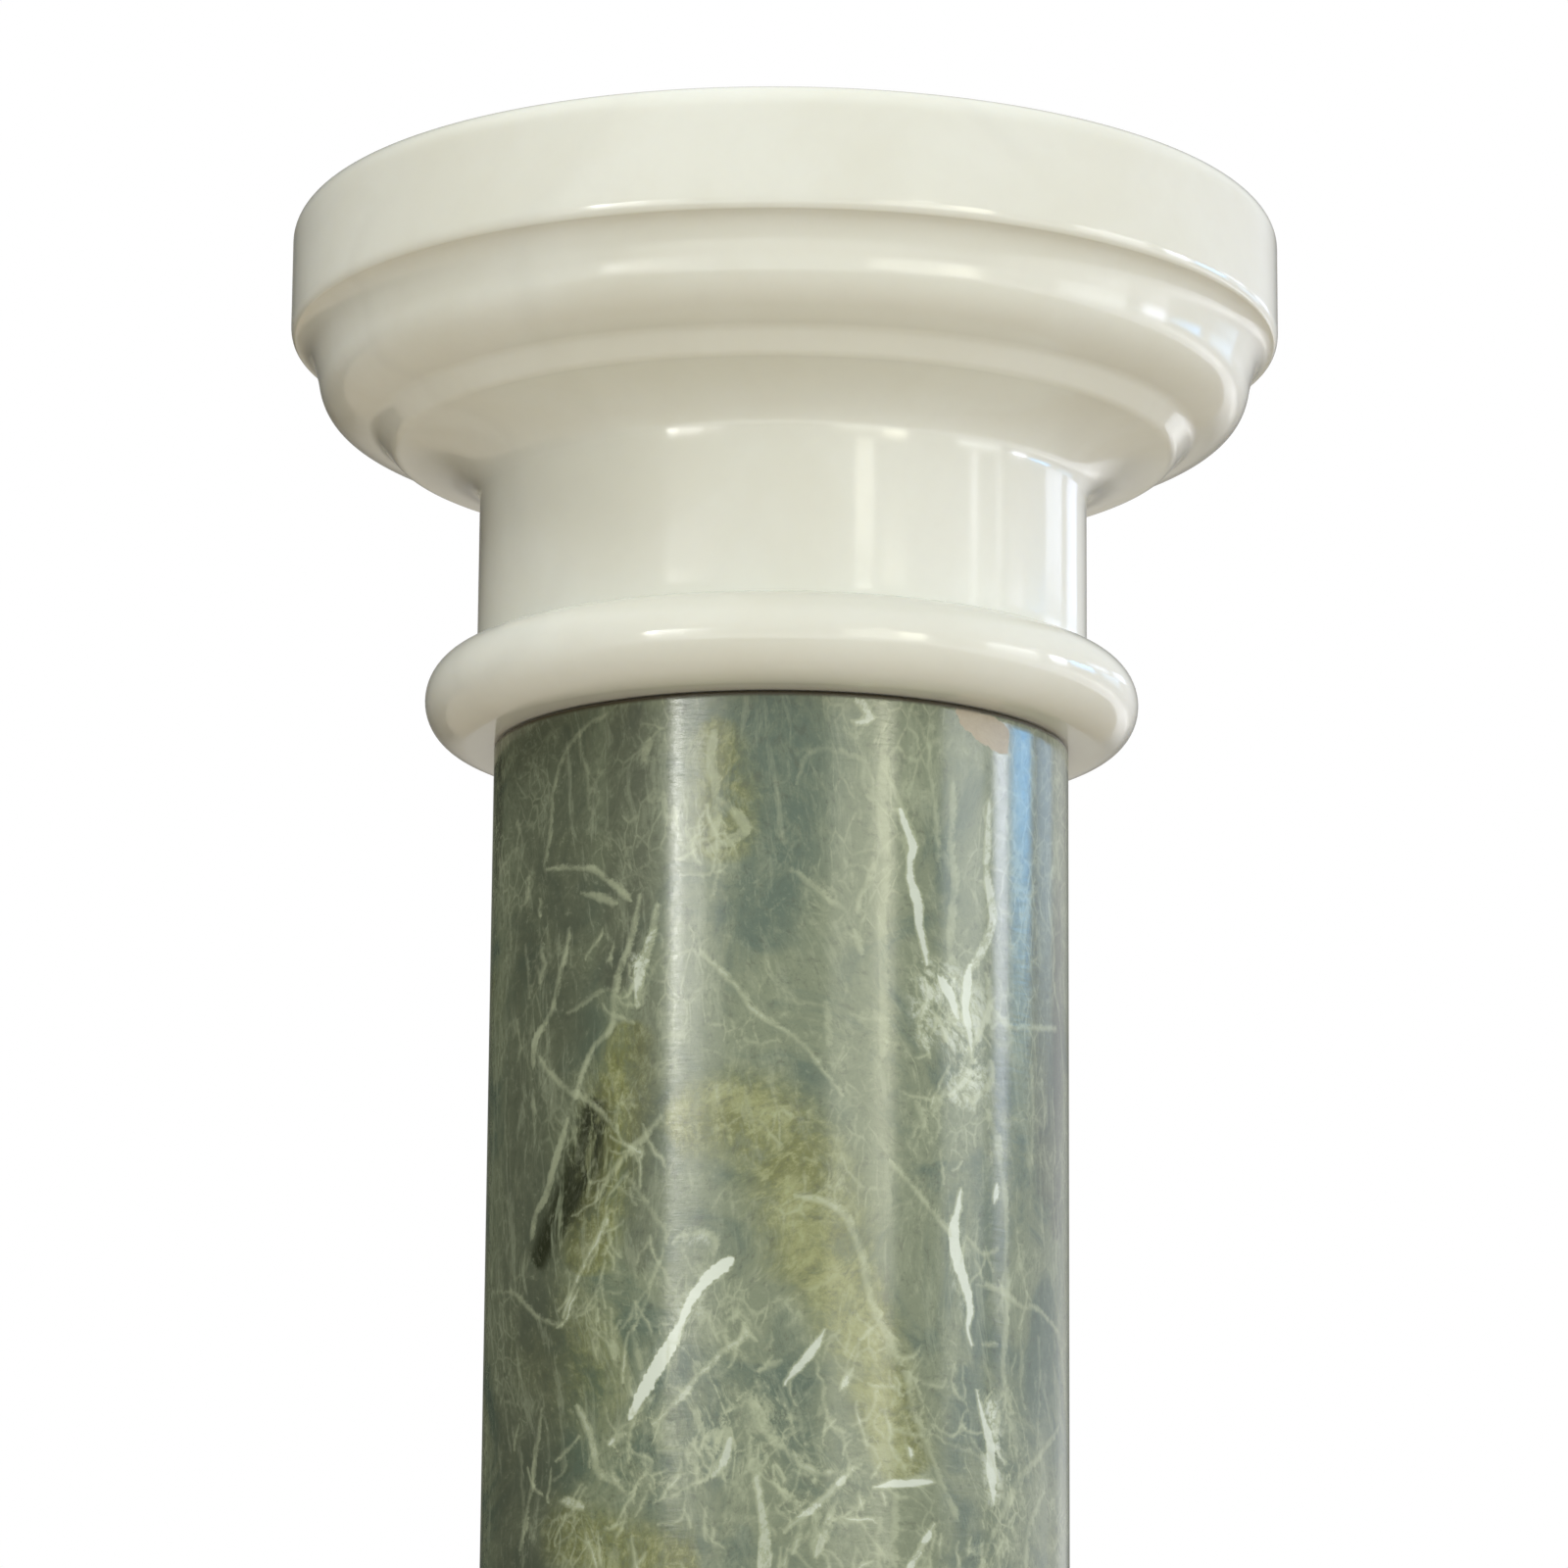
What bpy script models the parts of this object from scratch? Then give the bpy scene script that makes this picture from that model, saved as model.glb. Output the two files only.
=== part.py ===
"""A round marble column: a white capital and a white base, turned, on a plain green shaft.

Metres, +Z up. The origin is on the ground, at the centre of the column's underside.
"""
import math

import bpy

COLUMN_HEIGHT = 2.000
SEAT_GAP = 0.0003
TURNED_SIDES = 56
ARC_STEPS = 5
MERGE_DISTANCE = 0.00005

# Shaft: a plain cylinder whose length is what the base and the capital leave of the height
SHAFT_RADIUS = 0.115
SHAFT_EDGE = 0.001

# Capital, from its underside to its top. Each reach is how far a moulding stands out past the one below,
# and each corner is how far across and down the corner of a bend lies, as shares of its reach and height
CAPITAL_SEAT_MARGIN = 0.0075
RING_SEAT_REACH = 0.0025
RING_HEIGHT = 0.036
NECK_HEIGHT = 0.066
CAVETTO_HEIGHT = 0.019
CAVETTO_REACH = 0.035
FILLET_HEIGHT = 0.006
FILLET_REACH = 0.0055
SOFFIT_HEIGHT = 0.010
SOFFIT_REACH = 0.0185
SHOULDER_HEIGHT = 0.013
SHOULDER_REACH = 0.0065
SHOULDER_CORNER = (0.64, 0.88)
COVE_HEIGHT = 0.016
COVE_REACH = 0.010
COVE_CORNER = (0.43, 0.02)
DISC_HEIGHT = 0.050
DISC_LOWER_ROUNDING = 0.002
DISC_UPPER_ROUNDING = 0.010

# Base, from its underside to its top; each reach is how far a moulding stands out past the one above
BASE_SEAT_MARGIN = 0.0075
BASE_EDGE = 0.002
BASE_NECK_HEIGHT = 0.022
BASE_CAVETTO_HEIGHT = 0.028
BASE_CAVETTO_REACH = 0.0275
BASE_FILLET_HEIGHT = 0.006
TORUS_HEIGHT = 0.054
TORUS_SEAT_REACH = 0.002
PLINTH_RADIUS = 0.200
PLINTH_HEIGHT = 0.060
PLINTH_ROUNDING = 0.004

NECK_RADIUS = SHAFT_RADIUS + CAPITAL_SEAT_MARGIN
CAPITAL_HEIGHT = (RING_HEIGHT + NECK_HEIGHT + CAVETTO_HEIGHT + FILLET_HEIGHT
                  + SOFFIT_HEIGHT + SHOULDER_HEIGHT + COVE_HEIGHT + DISC_HEIGHT)
BASE_NECK_RADIUS = SHAFT_RADIUS + BASE_SEAT_MARGIN
BASE_HEIGHT = (PLINTH_HEIGHT + TORUS_HEIGHT + BASE_FILLET_HEIGHT
               + BASE_CAVETTO_HEIGHT + BASE_NECK_HEIGHT)
SHAFT_LENGTH = COLUMN_HEIGHT - BASE_HEIGHT - CAPITAL_HEIGHT - 2 * SEAT_GAP


def clear_scene():
    for old in list(bpy.data.objects):
        bpy.data.objects.remove(old, do_unlink=True)


def marble(name, colour, roughness):
    """A polished stone."""
    material = bpy.data.materials.new(name)
    material.use_nodes = True
    shader = material.node_tree.nodes["Principled BSDF"]
    shader.inputs["Base Color"].default_value = (*colour, 1.0)
    shader.inputs["Roughness"].default_value = roughness
    shader.inputs["Metallic"].default_value = 0.0
    return material


def arc(centre, reach, rise, start, end, steps=ARC_STEPS):
    """Points of a quarter or half ellipse about centre, from the start angle to the end angle.

    Points are (radius, height) pairs. Angle 0 points outwards and 90 points up.
    """
    points = []
    for step in range(steps + 1):
        angle = math.radians(start + (end - start) * step / steps)
        points.append((centre[0] + reach * math.cos(angle), centre[1] + rise * math.sin(angle)))
    return points


def bow(start, end, across, down):
    """Points of a smooth bend from start to end, without start.

    The bend's corner lies these shares of the way across and down.
    """
    corner = (start[0] + across * (end[0] - start[0]), start[1] + down * (end[1] - start[1]))
    points = []
    for step in range(1, ARC_STEPS + 1):
        share = step / ARC_STEPS
        first = (1 - share) ** 2
        middle = 2 * share * (1 - share)
        last = share ** 2
        points.append((first * start[0] + middle * corner[0] + last * end[0],
                       first * start[1] + middle * corner[1] + last * end[1]))
    return points


def capital_profile():
    """The capital's outline, from the middle of its top down to the middle of its underside."""
    disc_foot = CAPITAL_HEIGHT - DISC_HEIGHT
    cove_foot = disc_foot - COVE_HEIGHT
    shoulder_foot = cove_foot - SHOULDER_HEIGHT
    soffit_foot = shoulder_foot - SOFFIT_HEIGHT
    cavetto_foot = soffit_foot - FILLET_HEIGHT - CAVETTO_HEIGHT
    cavetto_radius = NECK_RADIUS + CAVETTO_REACH
    fillet_radius = cavetto_radius + FILLET_REACH
    soffit_radius = fillet_radius + SOFFIT_REACH
    shoulder_radius = soffit_radius + SHOULDER_REACH
    cove_radius = shoulder_radius + COVE_REACH
    disc_radius = cove_radius + DISC_LOWER_ROUNDING
    ring_centre = (NECK_RADIUS + RING_SEAT_REACH, RING_HEIGHT / 2)

    upper_edge = (disc_radius - DISC_UPPER_ROUNDING, CAPITAL_HEIGHT - DISC_UPPER_ROUNDING)
    lower_edge = (cove_radius, disc_foot + DISC_LOWER_ROUNDING)
    outline = [(0.0, CAPITAL_HEIGHT)]
    outline += arc(upper_edge, DISC_UPPER_ROUNDING, DISC_UPPER_ROUNDING, 90, 0)
    outline += arc(lower_edge, DISC_LOWER_ROUNDING, DISC_LOWER_ROUNDING, 0, -90, 3)
    outline += bow((cove_radius, disc_foot), (shoulder_radius, cove_foot), *COVE_CORNER)
    outline += bow((shoulder_radius, cove_foot), (soffit_radius, shoulder_foot), *SHOULDER_CORNER)
    outline += [(fillet_radius, soffit_foot)]
    outline += arc((cavetto_radius, cavetto_foot), CAVETTO_REACH, CAVETTO_HEIGHT, 90, 180)
    outline += [(NECK_RADIUS, RING_HEIGHT)]
    outline += arc(ring_centre, RING_HEIGHT / 2, RING_HEIGHT / 2, 90, -90, 2 * ARC_STEPS)
    outline += [(0.0, 0.0)]
    return outline


def shaft_profile():
    """A cylinder with its two arrises just taken off."""
    return [
        (0.0, SHAFT_LENGTH),
        (SHAFT_RADIUS - SHAFT_EDGE, SHAFT_LENGTH),
        (SHAFT_RADIUS, SHAFT_LENGTH - SHAFT_EDGE),
        (SHAFT_RADIUS, SHAFT_EDGE),
        (SHAFT_RADIUS - SHAFT_EDGE, 0.0),
        (0.0, 0.0),
    ]


def base_profile():
    """The base's outline, from the middle of its top down to the middle of its underside."""
    neck_foot = BASE_HEIGHT - BASE_NECK_HEIGHT
    fillet_radius = BASE_NECK_RADIUS + BASE_CAVETTO_REACH
    torus_centre = (fillet_radius + TORUS_SEAT_REACH, PLINTH_HEIGHT + TORUS_HEIGHT / 2)

    top_edge = (BASE_NECK_RADIUS - BASE_EDGE, BASE_HEIGHT - BASE_EDGE)
    plinth_edge = PLINTH_RADIUS - PLINTH_ROUNDING
    outline = [(0.0, BASE_HEIGHT)]
    outline += arc(top_edge, BASE_EDGE, BASE_EDGE, 90, 0, 3)
    outline += arc((fillet_radius, neck_foot), BASE_CAVETTO_REACH, BASE_CAVETTO_HEIGHT, 180, 270)
    outline += [(fillet_radius, PLINTH_HEIGHT + TORUS_HEIGHT)]
    outline += arc(torus_centre, TORUS_HEIGHT / 2, TORUS_HEIGHT / 2, 90, -90, 2 * ARC_STEPS)
    plinth_top = PLINTH_HEIGHT - PLINTH_ROUNDING
    outline += arc((plinth_edge, plinth_top), PLINTH_ROUNDING, PLINTH_ROUNDING, 90, 0, 3)
    outline += arc((plinth_edge, PLINTH_ROUNDING), PLINTH_ROUNDING, PLINTH_ROUNDING, 0, -90, 3)
    outline += [(0.0, 0.0)]
    return outline


def turned_piece(name, outline, foot_height, material, collection):
    """Turn an outline of (radius, height) points about the upright axis and stand it at foot_height."""
    mesh = bpy.data.meshes.new(name)
    points = [(radius, 0.0, height) for radius, height in outline]
    edges = [(index, index + 1) for index in range(len(points) - 1)]
    mesh.from_pydata(points, edges, [])
    mesh.materials.append(material)
    piece = bpy.data.objects.new(name, mesh)
    piece.location = (0.0, 0.0, foot_height)
    collection.objects.link(piece)

    turning = piece.modifiers.new("Turning", "SCREW")
    turning.axis = "Z"
    turning.angle = math.tau
    turning.steps = TURNED_SIDES
    turning.render_steps = TURNED_SIDES
    turning.use_smooth_shade = True
    turning.use_merge_vertices = True
    turning.merge_threshold = MERGE_DISTANCE
    return piece


def build_column():
    collection = bpy.data.collections.new("marble_column")
    bpy.context.scene.collection.children.link(collection)
    white = marble("white_marble", (0.80, 0.79, 0.70), 0.12)
    green = marble("green_marble", (0.14, 0.18, 0.12), 0.15)

    shaft_foot = BASE_HEIGHT + SEAT_GAP
    capital_foot = shaft_foot + SHAFT_LENGTH + SEAT_GAP
    turned_piece("base", base_profile(), 0.0, white, collection)
    turned_piece("shaft", shaft_profile(), shaft_foot, green, collection)
    turned_piece("capital", capital_profile(), capital_foot, white, collection)


clear_scene()
build_column()
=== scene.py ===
"""Looks of the marble column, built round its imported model.

A round shaft of polished green marble stands between a turned capital and a turned base of white marble.
The camera looks up at the capital and the top of the shaft.
"""
import math
import random

import bpy
import numpy as np
from mathutils import Matrix, Vector


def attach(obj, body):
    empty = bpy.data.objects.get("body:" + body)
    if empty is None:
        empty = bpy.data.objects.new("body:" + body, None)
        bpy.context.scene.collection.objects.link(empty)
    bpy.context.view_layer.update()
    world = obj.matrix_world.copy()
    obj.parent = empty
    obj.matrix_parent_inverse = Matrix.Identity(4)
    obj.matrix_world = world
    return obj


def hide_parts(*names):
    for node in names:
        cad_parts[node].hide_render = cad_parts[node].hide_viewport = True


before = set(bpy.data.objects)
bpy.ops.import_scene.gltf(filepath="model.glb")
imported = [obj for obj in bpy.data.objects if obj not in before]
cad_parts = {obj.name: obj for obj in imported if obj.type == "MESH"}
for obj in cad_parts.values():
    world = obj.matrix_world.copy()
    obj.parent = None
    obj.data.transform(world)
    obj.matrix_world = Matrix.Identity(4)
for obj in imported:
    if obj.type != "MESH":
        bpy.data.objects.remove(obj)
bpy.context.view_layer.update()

# The photograph: its side and lens in pixels, and where the camera stood, in metres and degrees
PICTURE_SIDE = 1600
PICTURE_CENTRE = PICTURE_SIDE / 2
FOCAL_LENGTH = 6245
SENSOR_WIDTH = 36.0
CAMERA_DISTANCE = 2.4
CAMERA_BELOW_TOP = 0.728
CAMERA_PITCH = 11.742
CAMERA_YAW = -0.029
CAMERA_ROLL = 0.451

# Whole column
COLUMN_HEIGHT = 2.000
SEAT_GAP = 0.0003

# Capital, from its underside to its top
CAPITAL_HEIGHT = 0.216
RING_SEAT_REACH = 0.0025
RING_HEIGHT = 0.036
NECK_RADIUS = 0.1225
CAVETTO_HEIGHT = 0.019
CAVETTO_REACH = 0.035
FILLET_HEIGHT = 0.009
FILLET_REACH = 0.008
SHOULDER_HEIGHT = 0.020
SHOULDER_REACH = 0.023
SHOULDER_CORNER = (0.065, 0.875)
FACE_HEIGHT = 0.005
FACE_REACH = 0.0014
COVE_HEIGHT = 0.011
COVE_REACH = 0.0081
COVE_CORNER = (0.70, 0.05)
MOULDING_WEAR = 0.0022
WEAR_STEPS = 5
DISC_HEIGHT = 0.050
DISC_LOWER_ROUNDING = 0.002
DISC_LOWER_RISE = 0.005
DISC_UPPER_ROUNDING = 0.010

# Base, from its underside to its top
BASE_NECK_RADIUS = 0.1225
BASE_EDGE = 0.002
BASE_HEIGHT = 0.170
BASE_NECK_HEIGHT = 0.022
BASE_CAVETTO_HEIGHT = 0.028
BASE_CAVETTO_REACH = 0.0275
TORUS_HEIGHT = 0.054
TORUS_SEAT_REACH = 0.002
PLINTH_RADIUS = 0.200
PLINTH_HEIGHT = 0.060
PLINTH_ROUNDING = 0.004

# Turned white pieces
WHITE_SIDES = 288
ARC_STEPS = 16
CREASE_RADIUS = 0.0012
CREASE_TURN = 20.0
SHARP_TURN = 40.0

# Shaft, with its points closer together where the camera sees it
SHAFT_RADIUS = 0.115
SHAFT_EDGE = 0.001
SHAFT_FOOT = BASE_HEIGHT + SEAT_GAP
SHAFT_TOP = COLUMN_HEIGHT - CAPITAL_HEIGHT - SEAT_GAP
HALF_ROUND = math.pi * SHAFT_RADIUS
SHOWN_REACH = 0.5 * HALF_ROUND
SEEDED_REACH = 0.56 * HALF_ROUND
SHOWN_LENGTH = 0.36
SHOWN_FOOT = SHAFT_TOP - SHOWN_LENGTH
FRONT_SIDES = 176
BACK_SIDES = 96
SHOWN_ROWS = 150
PLAIN_ROWS = 208
PIXEL = (CAMERA_DISTANCE - SHAFT_RADIUS) / FOCAL_LENGTH

# Colours
WHITE_LIGHT = (0.84, 0.85, 0.78)
WHITE_CREAM = (0.80, 0.80, 0.71)
WHITE_GRAIN = (0.74, 0.73, 0.66)
WHITE_VEIN = (0.50, 0.50, 0.45)
GREEN_GREY = (0.209, 0.247, 0.159)
GREEN_TEAL = (0.106, 0.152, 0.112)
# Deep and dark green also serve as painted shade on the shaft's sides
GREEN_DEEP = (0.082, 0.093, 0.064)
OLIVE = (0.178, 0.192, 0.060)
OLIVE_PALE = (0.345, 0.370, 0.170)
GREEN_DARK = (0.026, 0.031, 0.015)
GREEN_PALE = (0.408, 0.456, 0.323)
VEIN_WHITE = (0.700, 0.765, 0.670)
VEIN_CREAM = (0.490, 0.540, 0.370)
CHIP_BEIGE = (0.500, 0.445, 0.330)
CHIP_GRAIN = (0.430, 0.370, 0.265)
# Painted shade: the dark band under the capital's ring, at the joint
JOINT_SHADE = (0.050, 0.040, 0.020)
FLOOR_WARM = (0.56, 0.48, 0.375)
FLOOR_PALE = (0.60, 0.52, 0.415)

# Veins that show in the photograph: strength, then (x, y, width) in its pixels
SEEN_VEINS = (
    # Bold slashes and what joins them
    (1.0, (749, 1284, 4), (738, 1291, 15), (718, 1309, 13), (703, 1330, 9), (695, 1350, 8),
     (682, 1376, 19), (664, 1407, 18), (650, 1433, 11), (642, 1449, 4)),
    (0.6, (648, 1449, 4), (643, 1464, 4), (642, 1494, 3)),
    (0.75, (640, 1463, 4), (630, 1468, 8), (620, 1475, 3)),
    (0.66, (757, 1350, 3), (761, 1363, 5), (737, 1380, 6), (717, 1400, 5), (697, 1423, 6), (680, 1441, 4),
     (665, 1454, 3)),
    (0.4, (686, 1271, 3), (697, 1260, 5), (720, 1257, 6), (730, 1267, 5), (727, 1283, 3)),
    (0.86, (917, 823, 3), (924, 842, 8), (932, 862, 9), (928, 882, 7), (931, 903, 10), (937, 922, 12),
     (938, 945, 9), (943, 966, 7), (946, 986, 4)),
    (0.88, (981, 1212, 3), (977, 1237, 9), (973, 1257, 14), (977, 1283, 15), (986, 1315, 13),
     (990, 1337, 9), (987, 1357, 4), (993, 1377, 3)),
    (0.45, (987, 1263, 3), (1003, 1280, 3), (1020, 1273, 2)),
    (0.85, (843, 1355, 2), (831, 1376, 8), (813, 1397, 8), (799, 1414, 3)),
    (0.8, (871, 1396, 3), (865, 1407, 8), (857, 1420, 2)),
    (0.85, (927, 1474, 3), (929, 1482, 6), (931, 1490, 2)),
    # The wedge, the dash and the diagonals low down
    (0.85, (996, 1416, 2), (1003, 1448, 6), (1010, 1470, 12), (1012, 1497, 16), (1013, 1520, 9),
     (1014, 1538, 2)),
    (0.6, (1020, 1438, 2), (1017, 1456, 6), (1014, 1474, 5)),
    (0.9, (890, 1518, 1), (908, 1515, 6), (935, 1513, 7), (955, 1512, 1)),
    (0.8, (873, 1496, 3), (850, 1520, 8), (827, 1541, 8), (799, 1564, 3)),
    (0.6, (823, 1543, 4), (816, 1563, 5), (808, 1587, 3)),
    (0.65, (856, 1528, 2), (845, 1552, 5), (838, 1574, 9), (830, 1590, 3)),
    (0.8, (954, 1554, 4), (941, 1578, 8), (927, 1604, 9)),
    (0.6, (788, 1464, 6), (807, 1483, 7), (827, 1500, 5), (851, 1503, 5)),
    # Lines, arcs and flecks in the middle and on the left
    (0.66, (620, 1241, 2), (617, 1249, 6), (607, 1270, 4), (590, 1303, 4), (574, 1345, 3)),
    (0.6, (712, 968, 2), (735, 990, 4), (757, 1012, 5), (770, 1032, 5), (800, 1050, 4), (818, 1063, 4),
     (832, 1080, 4), (845, 1098, 3), (862, 1120, 2)),
    (0.5, (557, 887, 2), (603, 886, 4), (623, 901, 5), (645, 919, 4)),
    (0.45, (592, 910, 2), (610, 915, 6), (630, 923, 4)),
    (0.32, (622, 727, 3), (596, 743, 4), (577, 768, 4), (567, 797, 4), (563, 830, 4), (560, 858, 4),
     (555, 884, 3)),
    (0.25, (590, 755, 2), (599, 790, 3), (602, 830, 2)),
    (0.35, (664, 752, 4), (659, 768, 8), (655, 780, 3)),
    (0.55, (654, 910, 3), (650, 935, 7), (643, 962, 6), (633, 988, 6), (627, 1015, 8), (625, 1046, 6),
     (605, 1071, 6), (593, 1098, 6), (587, 1122, 3)),
    (0.72, (671, 920, 5), (667, 948, 9), (660, 972, 12), (653, 990, 15), (653, 1012, 12), (650, 1030, 4)),
    (0.3, (633, 1008, 2), (613, 1012, 3), (597, 1022, 3), (577, 1036, 2)),
    (0.55, (582, 945, 3), (577, 975, 4), (570, 998, 5), (565, 1025, 5), (556, 1045, 6), (546, 1062, 9),
     (544, 1090, 6)),
    (0.42, (549, 1078, 3), (563, 1098, 4), (580, 1112, 5), (598, 1122, 5), (617, 1138, 4), (631, 1156, 3)),
    (0.48, (580, 1140, 5), (573, 1165, 8), (565, 1190, 9), (558, 1218, 9), (547, 1240, 9), (542, 1266, 5)),
    (0.5, (676, 1138, 4), (660, 1157, 5), (647, 1170, 6), (627, 1193, 6), (612, 1220, 4)),
    (0.36, (636, 1196, 2), (660, 1227, 4), (677, 1253, 3), (681, 1272, 2)),
    # Lines on the right
    (0.55, (906, 1182, 3), (933, 1213, 4), (960, 1247, 4), (972, 1262, 4)),
    (0.55, (996, 1310, 3), (1020, 1316, 5), (1043, 1333, 5), (1057, 1335, 4), (1080, 1360, 4)),
    (0.6, (1001, 1372, 2), (1010, 1371, 5), (1019, 1372, 2)),
    # The white cluster and its stem
    (0.7, (943, 997, 4), (949, 1012, 9), (944, 1030, 6), (938, 1046, 7), (944, 1062, 5), (950, 1080, 3)),
    (0.88, (957, 994, 5), (965, 1007, 13), (973, 1024, 12), (978, 1042, 3)),
    (0.62, (950, 1025, 3), (960, 1045, 4), (966, 1064, 3)),
    (0.84, (991, 983, 5), (987, 1003, 11), (985, 1032, 8), (990, 1056, 9), (992, 1080, 3)),
    (0.6, (1006, 990, 4), (1011, 1020, 9), (1003, 1046, 6), (996, 1062, 3)),
    (0.66, (992, 1070, 4), (990, 1085, 9), (984, 1104, 7), (967, 1118, 4)),
    (0.5, (1010, 1080, 3), (1013, 1097, 5), (1005, 1112, 6), (993, 1122, 3)),
    (0.55, (963, 1112, 3), (957, 1126, 7), (952, 1140, 3)),
    (0.4, (935, 1122, 4), (940, 1138, 6), (948, 1156, 3)),
    (0.72, (1009, 815, 4), (1008, 855, 8), (1007, 888, 8), (1012, 922, 12), (1013, 942, 10),
     (1003, 968, 11), (990, 990, 9)),
    (0.42, (972, 796, 4), (973, 832, 7), (970, 865, 7), (975, 902, 8), (970, 948, 9), (972, 985, 8)),
    # Threads near the right edge
    (0.38, (932, 725, 3), (946, 757, 4), (953, 812, 4), (957, 862, 4), (958, 880, 2)),
    (0.42, (1007, 1132, 6), (1018, 1165, 8), (1023, 1200, 6), (1027, 1235, 6), (1027, 1283, 5),
     (1027, 1350, 6), (1023, 1385, 6), (1026, 1418, 5), (1034, 1445, 3)),
    (0.85, (1018, 1206, 3), (1016, 1217, 8), (1014, 1229, 2)),
    (0.55, (1015, 1030, 4), (1024, 1042, 5), (1038, 1048, 4), (1078, 1050, 4)),
    (0.4, (1074, 882, 3), (1070, 925, 4), (1076, 965, 4), (1075, 1000, 5), (1080, 1030, 3)),
    (0.32, (1057, 895, 3), (1048, 928, 4), (1045, 965, 4), (1043, 1000, 3)),
    (0.45, (1081, 1455, 3), (1063, 1483, 5), (1040, 1511, 9), (1027, 1537, 6), (1011, 1573, 5),
     (1002, 1602, 4)),
    (0.45, (1066, 1520, 4), (1051, 1558, 6), (1047, 1602, 6)),
    (0.32, (960, 1469, 2), (982, 1477, 3), (1004, 1488, 2)),
    # The small v, arc and sparks in the middle
    (0.36, (804, 885, 2), (823, 898, 4), (847, 918, 5), (864, 928, 3)),
    (0.55, (893, 875, 3), (885, 902, 5), (878, 916, 4), (874, 933, 3)),
    (0.5, (871, 948, 3), (876, 961, 6), (881, 977, 2)),
    (0.28, (812, 800, 3), (822, 773, 4), (840, 763, 4), (863, 768, 4), (888, 779, 4)),
    (0.36, (843, 1018, 3), (845, 1042, 6), (845, 1068, 3)),
    # Lines at the foot
    (0.66, (765, 1468, 5), (770, 1500, 6), (775, 1527, 6), (780, 1560, 8), (781, 1583, 14),
     (779, 1604, 15)),
    (0.42, (709, 1436, 3), (720, 1470, 4), (710, 1484, 4), (713, 1515, 3)),
    (0.72, (745, 1466, 4), (740, 1487, 8), (730, 1499, 7), (727, 1510, 3)),
    (0.5, (765, 1423, 4), (776, 1452, 10), (790, 1468, 9), (802, 1479, 4)),
    (0.36, (668, 1481, 2), (690, 1478, 4), (710, 1477, 3)),
    (0.4, (772, 1398, 4), (785, 1393, 5), (799, 1389, 2)),
    (0.5, (623, 1366, 3), (627, 1378, 8), (629, 1390, 3)),
    (0.42, (646, 1352, 3), (648, 1368, 5), (654, 1398, 3)),
    (0.6, (587, 1432, 3), (597, 1452, 6), (607, 1483, 7), (611, 1502, 9), (632, 1511, 7)),
    (0.66, (570, 1531, 3), (582, 1534, 8), (597, 1539, 4)),
    # Under the joint, along the reflections and round the olive patches
    (0.75, (873, 712, 8), (882, 722, 9), (890, 734, 6), (876, 737, 5), (868, 735, 2)),
    (0.46, (729, 745, 6), (725, 775, 9), (731, 802, 9), (733, 826, 8), (727, 852, 7)),
    (0.5, (733, 812, 5), (752, 831, 9), (760, 847, 9), (743, 859, 10), (722, 868, 7)),
    # Partly painted reflection: this long upright line traces the yellowish reflection strip, over the veins
    # it crosses
    (0.3, (902, 735, 6), (903, 765, 8), (900, 800, 9), (901, 840, 9), (905, 880, 7), (900, 930, 9),
     (902, 985, 9), (902, 1040, 8), (900, 1080, 6)),
    (0.58, (810, 1220, 4), (823, 1221, 6), (850, 1230, 6), (867, 1247, 7), (880, 1283, 7), (890, 1330, 7),
     (907, 1363, 8), (920, 1394, 4)),
    (0.4, (923, 1397, 5), (937, 1450, 5), (953, 1490, 5), (962, 1517, 5), (978, 1552, 4)),
    (0.42, (507, 1317, 2), (525, 1320, 3), (547, 1343, 3), (575, 1353, 3)),
    (0.36, (553, 1437, 3), (547, 1483, 4), (541, 1527, 4), (530, 1583, 4)),
    (0.4, (916, 1520, 4), (913, 1552, 6), (914, 1600, 6)),
    (0.4, (898, 1548, 3), (896, 1575, 4), (897, 1602, 4)),
)

# Upright threads near the shaft's two sides, in pixels: x, top and foot, then strength
SIDE_THREADS = (
    (528, 840, 874, 0.30), (538, 893, 924, 0.34), (553, 916, 938, 0.60),
    (522, 930, 970, 0.26), (553, 962, 1004, 0.34), (538, 962, 1020, 0.26), (530, 1040, 1084, 0.26),
    (516, 1100, 1180, 0.20), (545, 1120, 1150, 0.24), (533, 1480, 1600, 0.18), (1052, 1080, 1190, 0.30),
    (1064, 1100, 1260, 0.28), (1076, 1120, 1300, 0.26), (1044, 1340, 1440, 0.30), (1058, 1360, 1480, 0.26),
)
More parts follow.
